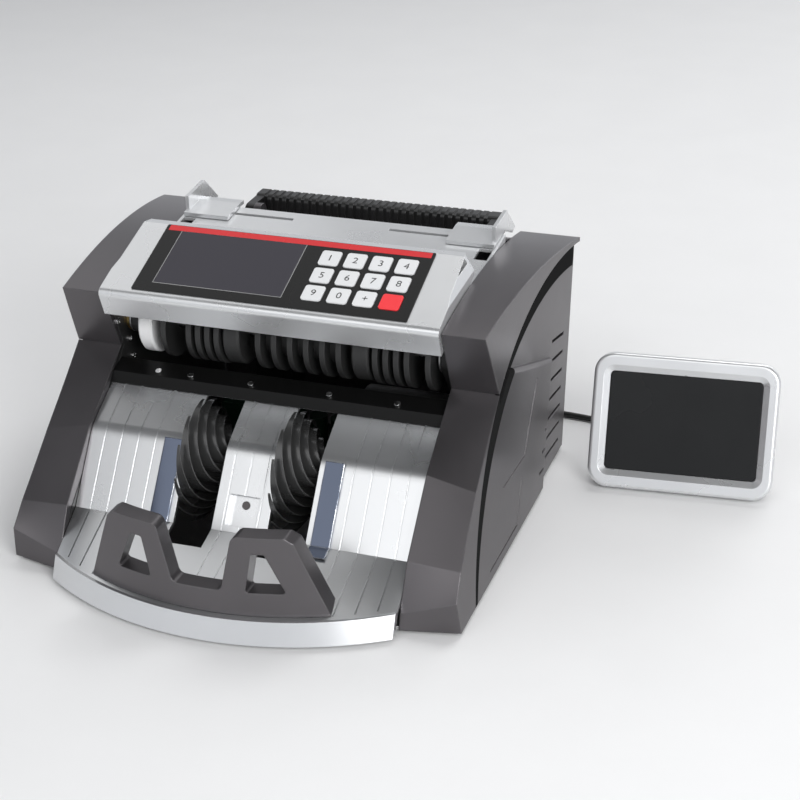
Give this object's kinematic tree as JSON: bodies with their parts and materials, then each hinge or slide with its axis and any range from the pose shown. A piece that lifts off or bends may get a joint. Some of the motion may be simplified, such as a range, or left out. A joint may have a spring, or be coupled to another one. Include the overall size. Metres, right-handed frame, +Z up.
{
  "type": "banknote counting machine",
  "caption": "Desktop banknote counter with sloping keypad console, rear hopper with sliding guides, finger-wheel stacker over a curved tray, carry handle and a separate corded display.",
  "frame": {"origin": "on the table, in the middle of the underside of the front left foot; the middle plane of the machine is at x = 0.092", "axes": "+X to the right seen from the front, +Y to the rear, +Z up; the tray faces -Y"},
  "size_m": [0.433, 0.3844, 0.1779],
  "materials": {
    "charcoal_plastic": "satin moulded",
    "silver_plastic": "silver painted satin",
    "sheet_steel": "zinc plated sheet",
    "black_rubber": "matte",
    "black_plastic": "fine grain",
    "overlay_black": "printed film, red stripe at the rear edge",
    "bright_mirror": "mirror polished",
    "screw_chrome": "plated",
    "shaft_steel": "ground",
    "pulley_aluminium": "turned",
    "bush_brass": "turned",
    "motor_paint": "black paint",
    "board_green": "solder mask",
    "roller_white": "moulded",
    "key_white": "moulded",
    "key_red": "moulded",
    "window_grey": "clear window over a grey panel",
    "screen_black": "glossy screen"
  },
  "bodies": {
    "machine": {"base_plate": "sheet_steel", "rubber_feet": "black_rubber", "right_side_frame": "sheet_steel", "left_side_frame": "sheet_steel", "right_lower_shell": "charcoal_plastic", "left_lower_shell": "charcoal_plastic", "right_shoulder_cover": "charcoal_plastic", "left_shoulder_cover": "charcoal_plastic", "rear_cover": "charcoal_plastic", "front_tray": "silver_plastic", "stacker_plate": "silver_plastic", "mirror_strips": "bright_mirror", "sensor_lens": "black_plastic", "note_stop": "charcoal_plastic", "roller_guard": "black_plastic", "guard_screws": "screw_chrome", "console_housing": "silver_plastic", "keypad_overlay": "overlay_black", "lcd_window": "window_grey", "hopper_plate": "silver_plastic", "shaft_bearings": "bush_brass", "drive_belts": "black_rubber", "drive_motor": "motor_paint", "main_board": "board_green", "mains_inlet": "black_plastic", "display_bezel": "silver_plastic", "display_screen": "screen_black", "display_back": "charcoal_plastic", "cord_plug": "black_plastic", "cord_lead": "black_plastic", "cord_coil": "black_plastic", "cord_run": "black_plastic"},
    "transport": {"transport_shaft": "shaft_steel", "transport_rollers": "black_rubber", "idler_roller": "roller_white", "transport_pulleys": "pulley_aluminium"},
    "feed": {"feed_shaft": "shaft_steel", "feed_wheels": "black_rubber", "feed_pulley": "pulley_aluminium"},
    "stacker": {"stacker_shaft": "shaft_steel", "left_stacker_wheel": "black_plastic", "right_stacker_wheel": "black_plastic", "stacker_pulley": "pulley_aluminium"},
    "motor_rotor": {"motor_pulley": "pulley_aluminium"},
    "right_guide": {"right_note_guide": "silver_plastic"},
    "left_guide": {"left_note_guide": "silver_plastic"},
    "handle": {"carry_handle": "black_plastic"},
    "rocker": {"power_switch": "black_plastic"},
    "button_1": {"key_1": "key_white"},
    "button_2": {"key_2": "key_white"},
    "button_3": {"key_3": "key_white"},
    "button_4": {"key_4": "key_white"},
    "button_5": {"key_5": "key_white"},
    "button_6": {"key_6": "key_white"},
    "button_7": {"key_7": "key_white"},
    "button_8": {"key_8": "key_white"},
    "button_9": {"key_9": "key_white"},
    "button_10": {"key_10": "key_white"},
    "button_11": {"key_11": "key_white"},
    "button_12": {"key_12": "key_red"}
  },
  "joints": [
    {"name": "transport_spin", "type": "hinge", "parent": "machine", "child": "transport", "pos_m": [0.092, 0.076, 0.122], "axis": [1, 0, 0], "continuous": true},
    {"name": "feed_spin", "type": "hinge", "parent": "machine", "child": "feed", "pos_m": [0.092, 0.122, 0.1405], "axis": [1, 0, 0], "continuous": true},
    {"name": "stacker_spin", "type": "hinge", "parent": "machine", "child": "stacker", "pos_m": [0.092, 0.024, 0.056], "axis": [1, 0, 0], "continuous": true},
    {"name": "motor_spin", "type": "hinge", "parent": "machine", "child": "motor_rotor", "pos_m": [0.092, 0.134, 0.04], "axis": [1, 0, 0], "continuous": true},
    {"name": "right_guide_slide", "type": "slide", "parent": "machine", "child": "right_guide", "axis": [-1, 0, 0], "range_m": [0, 0.035]},
    {"name": "left_guide_slide", "type": "slide", "parent": "machine", "child": "left_guide", "axis": [1, 0, 0], "range_m": [0, 0.035]},
    {"name": "handle_swing", "type": "hinge", "parent": "machine", "child": "handle", "pos_m": [0.092, 0.214, 0.146], "axis": [1, 0, 0], "range_deg": [0, 90]},
    {"name": "rocker_tilt", "type": "hinge", "parent": "machine", "child": "rocker", "pos_m": [0.03, 0.205, 0.055], "axis": [1, 0, 0], "range_deg": [-18, 0]},
    {"name": "button_1_press", "type": "slide", "parent": "machine", "child": "button_1", "axis": [0, 0.3573, -0.934], "range_m": [0, 0.0006], "stiffness_N_per_m": 900},
    {"name": "button_2_press", "type": "slide", "parent": "machine", "child": "button_2", "axis": [0, 0.3573, -0.934], "range_m": [0, 0.0006], "stiffness_N_per_m": 900},
    {"name": "button_3_press", "type": "slide", "parent": "machine", "child": "button_3", "axis": [0, 0.3573, -0.934], "range_m": [0, 0.0006], "stiffness_N_per_m": 900},
    {"name": "button_4_press", "type": "slide", "parent": "machine", "child": "button_4", "axis": [0, 0.3573, -0.934], "range_m": [0, 0.0006], "stiffness_N_per_m": 900},
    {"name": "button_5_press", "type": "slide", "parent": "machine", "child": "button_5", "axis": [0, 0.3573, -0.934], "range_m": [0, 0.0006], "stiffness_N_per_m": 900},
    {"name": "button_6_press", "type": "slide", "parent": "machine", "child": "button_6", "axis": [0, 0.3573, -0.934], "range_m": [0, 0.0006], "stiffness_N_per_m": 900},
    {"name": "button_7_press", "type": "slide", "parent": "machine", "child": "button_7", "axis": [0, 0.3573, -0.934], "range_m": [0, 0.0006], "stiffness_N_per_m": 900},
    {"name": "button_8_press", "type": "slide", "parent": "machine", "child": "button_8", "axis": [0, 0.3573, -0.934], "range_m": [0, 0.0006], "stiffness_N_per_m": 900},
    {"name": "button_9_press", "type": "slide", "parent": "machine", "child": "button_9", "axis": [0, 0.3573, -0.934], "range_m": [0, 0.0006], "stiffness_N_per_m": 900},
    {"name": "button_10_press", "type": "slide", "parent": "machine", "child": "button_10", "axis": [0, 0.3573, -0.934], "range_m": [0, 0.0006], "stiffness_N_per_m": 900},
    {"name": "button_11_press", "type": "slide", "parent": "machine", "child": "button_11", "axis": [0, 0.3573, -0.934], "range_m": [0, 0.0006], "stiffness_N_per_m": 900},
    {"name": "button_12_press", "type": "slide", "parent": "machine", "child": "button_12", "axis": [0, 0.3573, -0.934], "range_m": [0, 0.0006], "stiffness_N_per_m": 900}
  ],
  "couplings": [
    {"joint": "motor_spin", "follows": "transport_spin", "ratio": 1.2857},
    {"joint": "stacker_spin", "follows": "transport_spin", "ratio": 0.81818},
    {"joint": "feed_spin", "follows": "transport_spin", "ratio": 0.72727}
  ]
}
